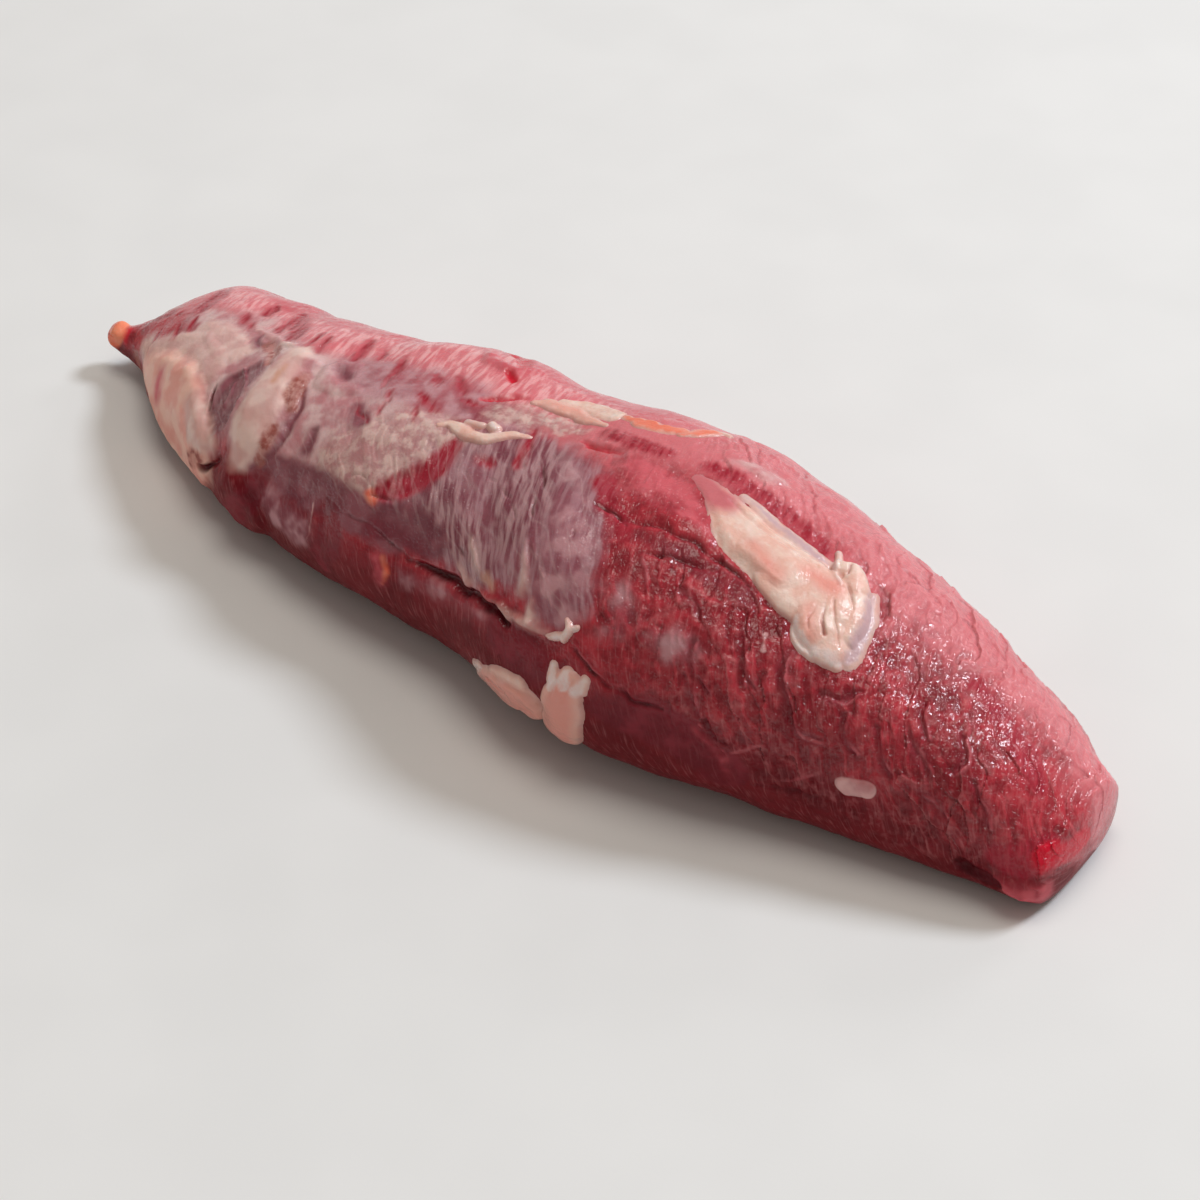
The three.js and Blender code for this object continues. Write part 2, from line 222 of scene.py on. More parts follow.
    "lower crease": ("dark", 0, (66, 118, 0.9, -0.6), (74, 114.5, 1.4, -1.2), (84, 112, 1, -0.8)),
    "upper crease": ("dark", 0, (40, 111, 0.9, -0.6), (48, 110, 1.4, -1), (56, 112, 1, -0.6)),
    "sheet's red": ("crimson", 3, (40, 102, 4), (46, 108, 4), (58, 114, 3)),
    "lit muscle": ("rosy", 8, (44, 92, 6, 0.4), (58, 95, 8, 0.8), (74, 98, 6, 0.6)),
    "white crack": ("edge", 0, (66, 117, 0.7, 0.3), (70, 121, 1.1, 0.5), (73.5, 127, 0.9, 0.4),
        (77, 130, 0.7, 0.2)),
    "misty patch": ("veil", 4, (67, 132, 3), (72, 142, 4.5), (70, 148, 3)),
    "smooth plate": (None, 5, (84, 156, 6, 0.4), (100, 160, 8, 0.6), (112, 168, 7, 0.4)),
    # The seams and the seam's hole are dark with painted shade.
    "seam": ("dark", 0, (62, 160, 1.2, -0.8), (72, 166, 1.4, -1.2), (84, 168, 1.4, -1), (92, 166, 1, -0.6)),
    "seam's line": ("edge", 0, (56, 150, 0.8, 0.3), (64, 160, 0.8, 0.4), (73, 165, 0.9, 0.4),
        (86, 165.5, 0.7, 0.3)),
    # Painted shade low on the near side below the seam.
    "shaded patch": ("dusk", 5, (74, 176, 6), (92, 174, 9), (112, 182, 8)),
    "lower seam": ("dark", 0, (118, 184, 0.9, -0.6), (134, 181, 1.2, -0.8), (150, 180, 0.9, -0.5)),
    "seam's hole": ("dark", 0, (105, 163, 1.4, -1), (107, 168, 2, -1.4), (113, 171, 1.4, -0.8)),
    # Painted shadow in the hollow under the head.
    "head hollow": ("dark", 0, (184, 186, 4, -2), (193, 189, 4.5, -2.4)),
    "red end": ("red", 4, (206, 146, 4.5), (208.6, 128, 5), (209.4, 100, 4.5)),
    "end's dark": ("crimson", 4, (193, 164, 4), (201, 154, 6), (206, 136, 6)),
    "red band": ("crimson", 4, (164, 84, 3), (176, 86, 4), (188, 92, 5), (194, 100, 3)),
    "crimson patch": ("crimson", 4, (62, 80, 3, -0.2), (84, 80, 5, -0.4), (106, 82, 4, -0.3)),
    "oval fleck": ("thread", 1.5, (147.5, 168.3, 3.2, 0.7), (153, 165, 3.2, 0.7)),
    "near fleck": ("veil", 2, (84, 141, 4, 0.3), (89, 141.5, 5, 0.4), (94, 140.5, 4, 0.3)),
    "upper fleck": ("film", 1.5, (67, 72, 1.6, 0.3), (72, 70.5, 3, 0.6), (80, 68, 2.8, 0.6)),
    "chipped fleck": ("thread", 1, (112, 123, 1.2, 0.4), (113.5, 128, 1.4, 0.4)),
    "white streaks": ("edge", 0, (114, 176, 0.6, 0.3), (119, 170, 0.8, 0.4), (123, 165, 0.6, 0.3)),
    "white streak": ("edge", 0, (128, 180, 0.6, 0.3), (134, 176, 0.8, 0.4), (138, 170, 0.6, 0.3)),
    "pale stripe": ("rosy", 2, (104, 170, 1.2, 0.3), (110, 177, 1.6, 0.4), (114, 185, 1.2, 0.2)),
    "torn side": ("torn", 0, (76, 128, 20), (110, 128, 36), (150, 122, 38), (190, 122, 26), (204, 130, 16)),
    "lower torn side": ("torn", 0, (190, 150, 18), (202, 150, 16)),
    "torn top": ("torn", 0, (26, 88, 6), (44, 92, 12), (60, 94, 12), (76, 88, 8)),
    "torn head": ("torn", 0, (60, 62, 16), (100, 60, 24), (140, 66, 26), (175, 66, 26), (205, 80, 16)),
    "strip's wrinkles": ("wrinkled", 0, (134, 80, 8), (140, 94, 12), (144, 108, 10)),
    "end's wrinkles": ("wrinkled", 0, (162, 48, 12), (182, 54, 17), (203, 66, 14)),
    # The far side.
    "far seam": (None, 0, (-120, 14, 4, -0.9), (-40, 8, 5, -1.2), (60, 12, 5, -1.1), (130, 18, 3, -0.8)),
    "far veil": ("veil", 10, (-160, 28, 10, 0), (-116, 20, 18, 0.2), (-64, 26, 14, 0.1), (-30, 20, 8, 0)),
    "far silverskin": ("film", 9, (10, 26, 8, 0.2), (46, 16, 15, 0.3), (90, 26, 10, 0.2)),
    "far fat": ("cream", 4, (-14, -2, 3, 0.4), (4, -8, 5, 0.7), (24, -6, 3, 0.4)),
    "far grain": ("torn", 0, (-150, 12, 12), (-60, 8, 16), (30, -6, 16), (120, 16, 22), (195, 20, 14)),
}
# Crimson streaks where the silky skin is thin: (x, angle) of both ends, half width.
STREAKS = [
    (-174, 70, -168, 94, 5), (-165, 101, -162, 110, 2.6), (-179, 124, -178, 136, 2.2),
    (-169, 112, -166, 122, 1.6), (-144, 67, -142, 76, 3.6), (-147, 84, -144.5, 90, 2.2),
    (-141, 87, -138.5, 91, 1.8), (-131, 62, -122, 78, 4.5), (-128, 76, -126, 86, 2.6),
    (-120, 74, -114, 87, 4.2), (-106, 76, -103, 89, 1.8), (-101, 78, -97, 90, 1.5), (-87, 72, -83, 88, 3),
    (-77, 77, -75, 85, 2), (-67, 80, -62, 91, 1.8), (-63, 90, -60, 98, 1.8), (-56, 100, -52, 105, 1.8),
    (-53, 106, -51, 113, 1.4), (-47, 88, -43, 92, 2), (-40, 86, -32, 92, 2.2), (-44, 98, -34, 102, 2.4),
    (-40, 104, -37, 109, 1.8), (-30, 94, -22, 92, 2), (-62, 112, -53, 118, 1), (-8, 112, -2, 112, 1.8),
    (0, 92, 8, 108, 2.4),
]
STREAK_SHARES = (0.6, 1, 0.7)
STREAK_DEPTHS = (0.2, 0.4, 0.3)
# Dark slits in the streaky skin, dark with painted shade: (x, angle) of both ends, half width, depth.
SLITS = [
    (15, 103, 24, 115, 1.3, 1.2), (5, 118, 15, 121.5, 0.9, 0.7), (21, 118, 28, 126, 0.9, 0.8),
    (42, 120, 45, 126, 0.9, 0.6), (8, 104, 12, 112, 0.8, 0.5), (14, 122, 22, 128, 0.7, 0.5),
    (-4, 116, 6, 117, 0.7, 0.4), (4, 148, 9, 151, 1.6, 0.8), (28, 108, 33, 118, 0.7, 0.4),
    (2, 96, 9, 103, 0.9, 0.5), (-10, 118, -4, 124, 0.6, 0.4),
]
SLIT_SHARES = (0.4, 1, 0.4)
# Lifted edges of torn muscle: points of (x, angle), each pale on its rim, partly as painted highlight, and
# dark with painted shade in the step beside it.
LIFTED_EDGES = [
    [(120, 123), (122, 132), (127, 145), (129, 150)], [(152, 134), (155, 144), (161, 152)],
    [(159, 124), (163, 130), (169, 137), (171, 146)], [(142, 136), (144, 144), (149, 150)],
    [(96, 138), (99, 146), (105, 152)], [(113, 140), (117, 143), (118, 137)],
    [(108, 128), (111, 136), (113, 144)], [(129, 150), (133, 154), (138, 152)],
    [(98, 150), (101, 156), (104, 162)], [(104, 166), (108, 170), (113, 178)],
    [(158, 108), (161, 115), (165, 122)], [(182, 130), (188, 140), (190, 148)],
    [(135, 132), (140, 130), (143, 124)], [(84, 122), (90, 124), (95, 129)],
    [(173, 110), (177, 120), (176, 130)], [(166, 152), (172, 152), (178, 158)],
]
RIM_WIDTH = 0.8
RIM_HEIGHT = 0.6
STEP_OFFSET = 1.6
STEP_WIDTH = 1.8
STEP_DEPTH = 0.8

# Tints over the muscle in order: tint, its two colours, the pattern that mixes them and roughens the edge,
# how far the edge wanders, where it starts and is full, and the least cover.
MEAT_LAYERS = [
    ("silk", (238, 166, 168), (220, 114, 122), "strands", 10, -4, 8, 0.5),
    ("film", (220, 182, 180), (196, 138, 142), "cloud", 6, -4, 6, 0.8),
    ("lilac", (178, 130, 138), (142, 82, 94), "threads", 5, -3, 5, 0.85),
    ("veil", (196, 142, 148), (152, 86, 98), "cloud", 7, -3, 6, 0.5),
    ("streaky", (180, 134, 138), (122, 54, 68), "threads", 5, -2, 4, 0.8),
    ("tan", (226, 188, 180), (214, 168, 162), "cloud", 5, -2, 4, 0.95),
    ("skin", (214, 178, 170), (188, 136, 134), "torn", 7, -3, 4, 0.8),
    ("mauve", (146, 80, 90), (114, 46, 60), "cloud", 3, -2, 2, 0.85),
    # This tint is painted shade: in folds, in the steps of lifted edges, below the strip and low on the near
    # side.
    ("dusk", (136, 40, 52), (110, 24, 38), "cloud", 2, -1, 2, 0.5),
    ("peach", (246, 196, 180), (238, 166, 152), "cloud", 6, -2, 6, 0.97),
    ("cream", (232, 198, 188), (218, 172, 164), "cloud", 4, -1, 4, 0.92),
    ("stain", (204, 140, 114), (214, 160, 136), "cloud", 2, -1, 2, 0.6),
    ("rosy", (208, 92, 102), (188, 62, 76), "cloud", 5, -2, 4, 0.5),
    ("crimson", (158, 22, 44), (176, 44, 62), "strands", 3, -1.5, 2, 0.7),
    ("brown", (158, 84, 76), (190, 126, 114), "torn", 2.5, -1, 1.6, 0.6),
    ("orange", (248, 146, 112), (242, 112, 82), "cloud", 2, -0.5, 2, 0.95),
    ("red", (206, 6, 42), (198, 28, 52), "cloud", 2, -0.5, 2, 0.9),
    ("edge", (190, 92, 100), (168, 60, 72), "cloud", 0.8, -0.2, 0.9, 0.4),
    ("thread", (226, 176, 174), (206, 142, 144), "cloud", 0.6, 0, 0.7, 0.6),
    # This dark red is painted shade, laid in creases, slits, seams, gaps, hollows and along the edges of
    # skins.
    ("dark", (80, 6, 16), (104, 14, 28), "cloud", 1, 0, 1.6, 0.9),
]
TINTS = [layer[0] for layer in MEAT_LAYERS] + ["torn", "wrinkled"]
COVERS = ("film", "tan", "cream", "peach", "lilac", "silk")
FAR_AWAY = 30.0
MARGIN = 8.0
EDGE_WANDER = 1.4
WANDER_SIZE = 6.0

# Long waves round and along the body: length, turns, height, phase.
WAVES = ((74, 2, 0.4, 0.4), (47, -3, 0.3, 2.1), (29, 4, 0.2, 4.0))
# Unevenness everywhere: height, size, seed.
SWELLS = ((0.5, 18, 31), (0.3, 7, 34))
PORES = (0.12, 2.8, 37)
# Wrinkles drawn out in one direction: turn from the long axis, width, length, seed.
FOLDS = (62, 3.4, 9, 61)
WRINKLES = (72, 2.3, 9, 65)
CRUMPLE = (58, 2.8, 12, 69)
FOLD_HEIGHT = 0.16
WRINKLE_HEIGHT = 0.14
CRUMPLE_HEIGHT = 0.12
PLATE_WIDTH = 8.0
PLATE_LENGTH = 14.0
PLATE_TURN = 62
PLATE_BEND = 16
PLATE_TILT = 0.8
PLATE_LIFT = 0.1
PLATE_STEP = 0.3


def smoothstep(value, low, high):
    t = np.clip((value - low) / (high - low), 0, 1)
    return t * t * (3 - 2 * t)


# ---- The body ----


def curve_through(xs, ys):
    """A curve through the points that never overshoots them, as a function of x."""
    step = np.diff(xs)
    rise = np.diff(ys) / step
    slopes = np.concatenate([rise[:1], np.zeros(len(xs) - 2), rise[-1:]])
    same_way = rise[:-1] * rise[1:] > 0
    weight_before = 2 * step[1:] + step[:-1]
    weight_after = step[1:] + 2 * step[:-1]
    before = np.where(same_way, rise[:-1], 1)
    after = np.where(same_way, rise[1:], 1)
    mean = (weight_before + weight_after) / (weight_before / before + weight_after / after)
    slopes[1:-1] = np.where(same_way, mean, 0)

    def curve(x):
        i = np.clip(np.searchsorted(xs, x, side="right") - 1, 0, len(step) - 1)
        t = (x - xs[i]) / step[i]
        start = (1 + 2 * t) * (1 - t) ** 2
        end = t ** 2 * (3 - 2 * t)
        bend = step[i] * t * (1 - t) * ((1 - t) * slopes[i] - t * slopes[i + 1])
        return start * ys[i] + end * ys[i + 1] + bend

    return curve


near_at, far_at, crest_at, height_at, underside_at = (
    curve_through(STATIONS[:, 0], STATIONS[:, column]) for column in range(1, 6)
)


def opening(x):
    """How far a ring has opened, from 0 at a rounded end to 1 along the body."""
    from_tail = np.clip((x + LENGTH / 2) / TAIL_ROUNDING, 0, 1)
    from_head = np.clip((LENGTH / 2 - x) / HEAD_ROUNDING, 0, 1)
    return np.sqrt(1 - (1 - from_tail) ** 2) * np.sqrt(1 - (1 - from_head) ** 2)


def body(x, degrees):
    """Points of the plain body."""
    x, degrees = np.broadcast_arrays(np.asarray(x, float), np.asarray(degrees, float))
    across, up = np.cos(np.radians(degrees)), np.sin(np.radians(degrees))
    upper = up >= 0
    exponent = 2 / np.where(upper, UPPER_ROUNDNESS, LOWER_ROUNDNESS)
    open_ = opening(x)
    crest, bottom, height = crest_at(x), underside_at(x), height_at(x)
    reach = np.where(across >= 0, far_at(x) - crest, crest - near_at(x))
    waist = bottom + (height - bottom) * WAIST
    rise = np.where(upper, height - waist, waist - bottom)
    y = crest + reach * open_ * np.sign(across) * np.abs(across) ** exponent
    z = waist + rise * open_ * np.sign(up) * np.abs(up) ** exponent
    return np.stack([x, y, z], -1)


def outward(x, degrees):
    """The direction straight out of a ring."""
    across = body(x, degrees + 2) - body(x, degrees - 2)
    out = np.stack([np.zeros(across.shape[:-1]), across[..., 2], -across[..., 1]], -1)
    return out / np.linalg.norm(out, axis=-1, keepdims=True)


def girth_radius(x):
    """Mean radius of the rings, which turns an angle into a length round the meat."""
    return (far_at(x) - near_at(x)) / 4 + height_at(x) / 4 + GIRTH_ALLOWANCE


# ---- Noise ----

RANDOM_TABLE = np.random.default_rng(11).random(4096)


def lattice(ix, iy, iz, seed):
    """A random number from 0 to 1 for each point of a lattice."""
    index = ix * 73 + iy * 179 + iz * 283 + (ix * iy) * 7 + (iy * iz) * 13 + (ix * iz) * 3 + seed * 997
    return RANDOM_TABLE[index & 4095]


def noise(points, size, seed, octaves=2):
    """Smooth noise from -1 to 1 with features of one size, halved for each further octave."""
    total, share, reach = 0.0, 1.0, 0.0
    for octave in range(octaves):
        p = points * (2 ** octave / size) + 17.3 * octave
        cell = np.floor(p).astype(np.int64)
        f = p - cell
        f = f * f * f * (f * (f * 6 - 15) + 10)
        value = 0.0
        for corner in range(8):
            d = np.array([corner & 1, corner >> 1 & 1, corner >> 2 & 1])
            weight = np.prod(np.where(d, f, 1 - f), axis=-1)
            c = cell + d
            value = value + weight * lattice(c[..., 0], c[..., 1], c[..., 2], seed + octave)
        total = total + share * (2 * value - 1)
        reach += share
        share /= 2
    return total / reach


def cells(u, v, seed):
    """Random cells: nearness of the border, the place along u in the cell, and a random number."""
    iu, iv = np.floor(u).astype(np.int64), np.floor(v).astype(np.int64)
    first = np.full(u.shape, 9.0)
    second = np.full(u.shape, 9.0)
    own_u, tag = np.zeros(u.shape), np.zeros(u.shape)
    for du in (-1, 0, 1):
        for dv in (-1, 0, 1):
            cu, cv = iu + du, iv + dv
            off_u = u - cu - lattice(cu, cv, 1, seed)
            off_v = v - cv - lattice(cu, cv, 2, seed)
            distance = np.hypot(off_u, off_v)
            closer = distance < first
            second = np.where(closer, first, np.minimum(second, distance))
            first = np.where(closer, distance, first)
            own_u = np.where(closer, off_u, own_u)
            tag = np.where(closer, lattice(cu, cv, 3, seed), tag)
    return second - first, own_u, tag


# ---- Features ----


def resample(path, count=5):
    """More points of a path, on a smooth curve through its own."""
    rows = np.array([(*row, 0)[:4] for row in path], float)
    if len(rows) < 3:
        return rows
    places = np.arange(len(rows), dtype=float)
    fine = np.linspace(0, len(rows) - 1, (len(rows) - 1) * count + 1)
    return np.stack([curve_through(places, rows[:, k])(fine) for k in range(rows.shape[1])], -1)


def nearest_on_path(points, rows):
    """Distance to a path, and its half width and height at the nearest place."""
    places = body(rows[:, 0], rows[:, 1])
    best = np.full(len(points), np.inf)
    width, height = np.zeros(len(points)), np.zeros(len(points))
    for i in range(len(rows) - 1):
        start, along = places[i], places[i + 1] - places[i]
        t = np.clip((points - start) @ along / max(along @ along, 1e-9), 0, 1)
        distance = np.linalg.norm(points - start - t[:, None] * along, axis=1)
        closer = distance < best
        best = np.where(closer, distance, best)
        width = np.where(closer, rows[i, 2] + t * (rows[i + 1, 2] - rows[i, 2]), width)
        height = np.where(closer, rows[i, 3] + t * (rows[i + 1, 3] - rows[i, 3]), height)
    return best, width, height


def strokes_at(plain, strokes, wander):
    """Each stroke's tint, its shape, the points it is near, and its distance, half width and height there."""
    moves = np.stack([noise(plain, WANDER_SIZE, seed) for seed in (1, 2, 3)], -1)
    asked = plain + wander * moves
    for tint, shape, *path in strokes:
        rows = resample(path)
        margin = rows[:, 2].max() + MARGIN
        past_start = plain[:, 0] > rows[:, 0].min() - margin
        near = np.flatnonzero(past_start & (plain[:, 0] < rows[:, 0].max() + margin))
        yield tint, shape, near, nearest_on_path(asked[near], rows)


def tapered(x, angle, end_x, end_angle, width, shares, depths):
    """A cut between two ends, with its shares of the width and its depths at the start, middle and end."""
    places = ((x, angle), ((x + end_x) / 2, (angle + end_angle) / 2), (end_x, end_angle))
    return [(*place, width * share, -depth) for place, share, depth in zip(places, shares, depths)]


def all_features():
    """The named features, with those made from the short lists."""
    features = list(FEATURES.values())
    for *ends, width in STREAKS:
        features.append(("crimson", 0, *tapered(*ends, width, STREAK_SHARES, STREAK_DEPTHS)))
    for *ends, width, depth in SLITS:
        features.append(("dark", 0, *tapered(*ends, width, SLIT_SHARES, (0, depth, 0))))
    for points in LIFTED_EDGES:
        rim = [(x, angle, RIM_WIDTH, RIM_HEIGHT) for x, angle in points]
        step = [(x - STEP_OFFSET, angle, STEP_WIDTH, -STEP_DEPTH) for x, angle in points]
        features += [("edge", 0, *rim), ("dusk", 0, *step)]
    return features


def nowhere(plain):
    """For each point, a reach that is far outside everything."""
    return np.full(len(plain), -FAR_AWAY)


def spread(reach, near, depth):
    """Widens a reach to where something lies at a depth inside its edge."""
    reach[near] = np.maximum(reach[near], depth)


def features_at(plain):
    """The relief of the features at points of the plain body, and how far each tint reaches past them."""
    relief = np.zeros(len(plain))
    reach = {tint: nowhere(plain) for tint in TINTS}
    for tint, edge, near, (distance, width, height) in strokes_at(plain, all_features(), EDGE_WANDER):
        if edge:
            profile = 1 - smoothstep(distance, width - edge, width)
        else:
            profile = np.clip(1 - (distance / width) ** 2, 0, 1) ** 2
        relief[near] += height * profile
        if tint:
            spread(reach[tint], near, width - distance)
    return relief, reach


def waves(x, degrees):
    total = 0.0
    for length, turns, height, phase in WAVES:
        total = total + height * np.sin(2 * math.pi * x / length + turns * np.radians(degrees) + phase)
    return total


def turned(x, round_, turn):
    """Places along and across a direction, which is turned by some degrees from the long axis."""
    cosine, sine = math.cos(math.radians(turn)), math.sin(math.radians(turn))
    return x * cosine + round_ * sine, round_ * cosine - x * sine


def ridges(x, round_, plain, turn, width, length, seed):
    """Wrinkles drawn out in one direction: 1 on their crests and down to -1 between them."""
    along, across = turned(x, round_, turn)
    across = across + width * noise(plain, 4 * width, seed)
    stretched = np.stack([along / length, across / width, np.zeros(len(x))], -1)
    return np.clip(1 - 5 * np.abs(noise(stretched, 1.0, seed)), -1, 1)


def plates(x, round_, plain):
    """Torn plates of muscle, tilted so that one side stands over its neighbour: relief, step and rim. The
    step is later painted with shade, and the rim paler, partly as painted highlight.
    """
    bent_x = x + PLATE_WIDTH * noise(plain, PLATE_BEND, 21, 3)
    bent_round = round_ + PLATE_WIDTH * noise(plain, PLATE_BEND, 24, 3)
    along, across = turned(bent_x, bent_round, PLATE_TURN)
    border, side, tag = cells(across / PLATE_WIDTH, along / PLATE_LENGTH, 5)
    lifted = smoothstep(tag, 0.45, 0.85)
    step = (1 - smoothstep(border, 0.0, 0.2)) * lifted * smoothstep(-side, -0.1, 0.3)
    rim = (1 - smoothstep(border, 0.02, 0.2)) * lifted * smoothstep(side, 0.05, 0.35)
    return lifted * (PLATE_TILT * side + PLATE_LIFT) - PLATE_STEP * step, step, rim


def under_pieces(plain):
    """How far inside the pieces of fat each place is."""
    inside = nowhere(plain)
    for wander, strokes in PIECES.values():
        solid = [stroke for stroke in strokes.values() if stroke[1] in ("dome", "sheet")]
        for *_, near, (distance, width, _) in strokes_at(plain, solid, wander):
            spread(inside, near, width - distance)
    return inside


def torn_grain(xs, round_, flat, reach):
    """The relief of torn, wrinkled and crumpled muscle, and what colours it, with the masks for painted shade
    in its valleys and steps and painted highlight on its crests and rims.
    """
    calm = 1 - smoothstep(under_pieces(flat), -2, 1)
    covered = smoothstep(np.maximum.reduce([reach[tint] for tint in COVERS]), -2, 2)
    torn = smoothstep(reach["torn"], -6, 8) * (1 - covered) * calm
    wrinkled = smoothstep(reach["wrinkled"], -4, 4) * calm
    folds, wrinkles, crumple = (ridges(xs, round_, flat, *kind) for kind in (FOLDS, WRINKLES, CRUMPLE))
    crumple = crumple * smoothstep(reach["skin"], -2, 3)
    plate, step, rim = plates(xs, round_, flat)
    height, size, seed = PORES
    relief = torn * (plate + FOLD_HEIGHT * folds) + WRINKLE_HEIGHT * wrinkled * wrinkles
    relief = relief + CRUMPLE_HEIGHT * crumple + height * noise(flat, size, seed) * (1 - 0.6 * covered)
    grain = torn * (1 - wrinkled) * folds + wrinkled * wrinkles
    return relief, {"grain": grain, "crumple": crumple, "step": step * torn, "rim": rim * torn, "bare": torn}


def muscle(x, degrees, bare=True):
    """Surface points of the meat, and what colours them. Where it isn't bare, it has no torn grain."""
    plain = body(x, degrees)
    flat = plain.reshape(-1, 3)
    xs, angles = x.reshape(-1), degrees.reshape(-1)
    round_ = np.radians(angles - 90) * girth_radius(xs)
    relief, reach = features_at(flat)
    relief = relief + waves(xs, angles)
    for height, size, seed in SWELLS:
        relief = relief + height * noise(flat, size, seed)
    looks = {**reach, "along": xs, "round": round_}
    if bare:
        grain_relief, grain_looks = torn_grain(xs, round_, flat, reach)
        relief = relief + grain_relief
        looks.update(grain_looks)
    full = smoothstep(flat[:, 2], 0, RELIEF_FADE) * opening(xs)
    surface = flat + outward(xs, angles) * (relief * full)[:, None]
    surface[:, 2] = np.maximum(surface[:, 2], 0)
    # Painted shade: "low" marks the lower near side, which is painted darker towards the floor.
    looks["low"] = smoothstep(angles + 8 * noise(flat, 16, 43), 150, 182)
    # Painted light: "lit" marks the upper far side and the crest, which are painted a lighter pink where the
    # key light falls.
    wandering = angles + 12 * noise(flat, 20, 41)
    band_end = smoothstep(wandering + 12 * smoothstep(xs, 20, 120), 66, 122)
    looks["lit"] = smoothstep(wandering, 0, 50) * (1 - band_end)
    return surface.reshape(plain.shape), looks


# ---- Meshes ----


def ring_places(count):
    even = 2 * (np.arange(count) + 1) / (count + 1) - 1
    crowded = np.sin(math.pi / 2 * even)
    return LENGTH / 2 * (even + END_CROWDING * (crowded - even))


def side_angles():
    spans = [np.arange(steps) / steps * (end - start) + start for start, end, steps in SIDE_SPANS]
    return np.concatenate(spans)


def mesh_object(name, points, faces, looks, material, normals=None):
    """A smooth mesh in metres, with its looks as attributes, riding on the part in place of its solid."""
    mesh = bpy.data.meshes.new(name)
    mesh.from_pydata((points * MM).tolist(), [], faces)
    mesh.polygons.foreach_set("use_smooth", np.ones(len(mesh.polygons), bool))
    for key, values in looks.items():
        attribute = mesh.attributes.new(key, "FLOAT", "POINT")
        attribute.data.foreach_set("value", np.asarray(values, np.float32))
    mesh.materials.append(material)
    mesh.update()
    if normals is not None:
        mesh.normals_split_custom_set_from_vertices(normals.tolist())
    piece = bpy.data.objects.new(name, mesh)
    bpy.context.scene.collection.objects.link(piece)
    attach(piece, BODY)
    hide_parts(NODE)
    return piece


def grid_faces(rows, columns, closed=False):
    """Quads over a grid of points numbered row by row, closed round the rows if asked."""
    columns_used = np.arange(columns if closed else columns - 1)
    row, column = np.meshgrid(np.arange(rows - 1), columns_used, indexing="ij")
    a = (row * columns + column).reshape(-1)
    b = (row * columns + (column + 1) % columns).reshape(-1)
    return np.stack([a, b, b + columns, a + columns], -1)


def grid_normals(surface):
    along = np.gradient(surface, axis=0)
    round_ = np.roll(surface, -1, axis=1) - np.roll(surface, 1, axis=1)
    normals = np.cross(round_, along)
    return normals / np.maximum(np.linalg.norm(normals, axis=-1, keepdims=True), 1e-9)


def end_fan(tip, start, sides, sign):
    """Triangles from the point at an end of the meat to the ring beside it, whose points count from start."""
    fan = [(tip, start + i, start + (i + 1) % sides) for i in range(sides)]
    return fan if sign > 0 else [face[::-1] for face in fan]


def make_muscle(material):
    """The meat in three lengths, so that none is too fine a mesh, with normals that run on over the joins."""
    x, degrees = np.meshgrid(ring_places(RINGS), side_angles(), indexing="ij")
    sides = x.shape[1]
    surface, looks = muscle(x, degrees)
    normals = grid_normals(surface)
    looks = {key: values.reshape(RINGS, sides) for key, values in looks.items()}
    for part, name in enumerate(("tail", "middle", "head")):
        first, last = part * PATCH_RINGS, min((part + 1) * PATCH_RINGS, RINGS - 1)
        rings = slice(first, last + 1)
        points, outwards = surface[rings].reshape(-1, 3), normals[rings].reshape(-1, 3)
        cut = {key: values[rings].reshape(-1) for key, values in looks.items()}
        faces = grid_faces(last + 1 - first, sides, closed=True).tolist()
        if name != "middle":
            sign, end = (-1, first) if name == "tail" else (1, last)
            faces += end_fan(len(points), (end - first) * sides, sides, sign)
            points = np.vstack([points, body(sign * LENGTH / 2, 0)])
            outwards = np.vstack([outwards, (sign, 0, 0)])
            cut = {key: np.append(values, looks[key][end, 0]) for key, values in cut.items()}
        mesh_object("muscle_" + name, points, faces, cut, material, outwards)


